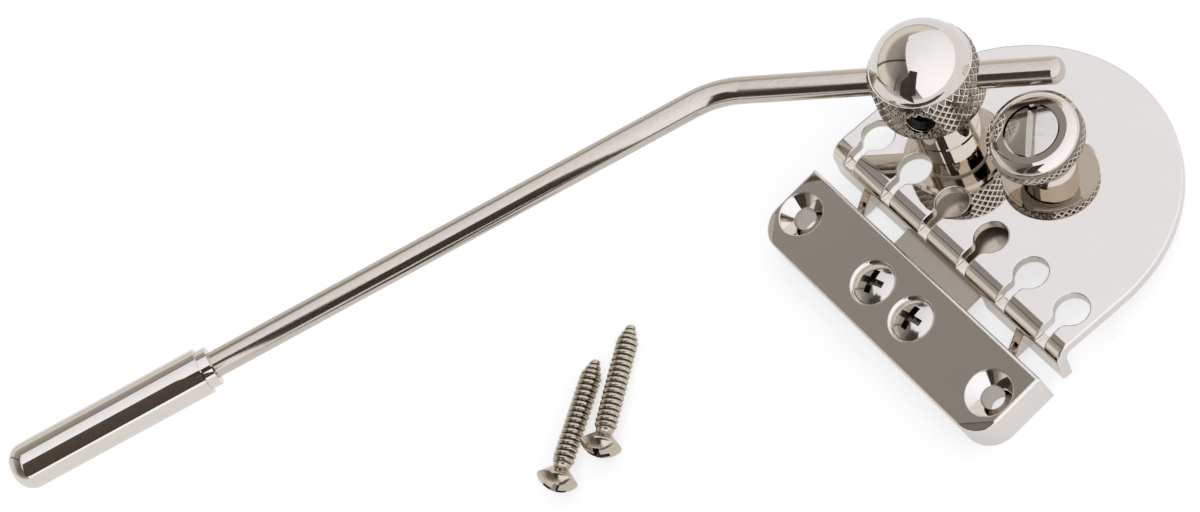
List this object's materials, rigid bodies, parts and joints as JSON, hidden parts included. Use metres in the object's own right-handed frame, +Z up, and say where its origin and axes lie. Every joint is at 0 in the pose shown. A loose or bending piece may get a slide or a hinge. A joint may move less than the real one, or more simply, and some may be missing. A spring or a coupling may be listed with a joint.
{
  "type": "guitar tremolo bridge",
  "caption": "Screw-down guitar tremolo: a bar, a rocking round-ended tail plate with string keyholes, a leaf spring, a knurled tension knob and a swinging hand arm.",
  "frame": {"origin": "on the mounting bar's underside, midway between its two mounting holes", "axes": "+X along the bar towards the end away from the arm's handle, +Y from the bar to the tail plate's round end, +Z up from the guitar's top"},
  "size_m": [0.1109, 0.1885, 0.0549],
  "materials": {
    "nickel_bar": "polished nickel",
    "nickel_plate": "polished nickel",
    "nickel_turned": "polished nickel, knurled bands",
    "nickel_screws": "bright nickel",
    "satin_rod": "satin nickel-plated rod",
    "spring_steel": "rolled spring steel",
    "black_steel": "blackened steel",
    "brass": "turned brass",
    "nylon": "natural nylon"
  },
  "bodies": {
    "bar": {"mounting_bar": "nickel_bar", "clamp_screws": "nickel_screws", "clamp_plate": "spring_steel", "leaf_spring": "spring_steel", "mounting_screws": "nickel_screws"},
    "plate": {"tail_plate": "nickel_plate", "post_collar": "nickel_turned", "swivel_washer": "nylon", "flat_washer": "nickel_screws", "wave_washer": "spring_steel", "knob_washer": "nylon", "tension_nut": "nickel_screws"},
    "holder": {"arm_holder": "nickel_turned", "lock_pad": "brass", "spindle_nut": "nickel_screws"},
    "lock": {"lock_screw": "black_steel"},
    "arm": {"arm_rod": "satin_rod", "handle_ferrule": "nickel_turned", "arm_handle": "nickel_turned"},
    "knob": {"tension_knob": "nickel_turned"},
    "screw": {"tension_screw": "nickel_screws"}
  },
  "joints": [
    {"name": "plate_tilt", "type": "hinge", "parent": "bar", "child": "plate", "pos_m": [0, 0.00686, 0.0015], "axis": [1, 0, 0], "range_deg": [0, 15], "stiffness_Nm_per_rad": 12, "springref_deg": -2.86, "deforming": ["leaf_spring"]},
    {"name": "arm_swing", "type": "hinge", "parent": "plate", "child": "holder", "pos_m": [-0.019, 0.02915, 0.00651], "axis": [0, 0.1478, 0.989], "continuous": true},
    {"name": "arm_reach", "type": "slide", "parent": "holder", "child": "arm", "axis": [-0.7096, -0.6969, 0.1042], "range_m": [-0.022, 0.012]},
    {"name": "lock_turn", "type": "hinge", "parent": "holder", "child": "lock", "pos_m": [-0.019, 0.0312, 0.02026], "axis": [0.7046, -0.7018, 0.1049], "range_deg": [0, 360]},
    {"name": "knob_turn", "type": "hinge", "parent": "plate", "child": "knob", "pos_m": [0, 0.03682, 0.00541], "axis": [0, 0, 1], "range_deg": [-360, 360]},
    {"name": "screw_turn", "type": "hinge", "parent": "plate", "child": "screw", "pos_m": [0, 0.03682, 0.00541], "axis": [0, 0, 1], "range_deg": [-360, 360]}
  ]
}
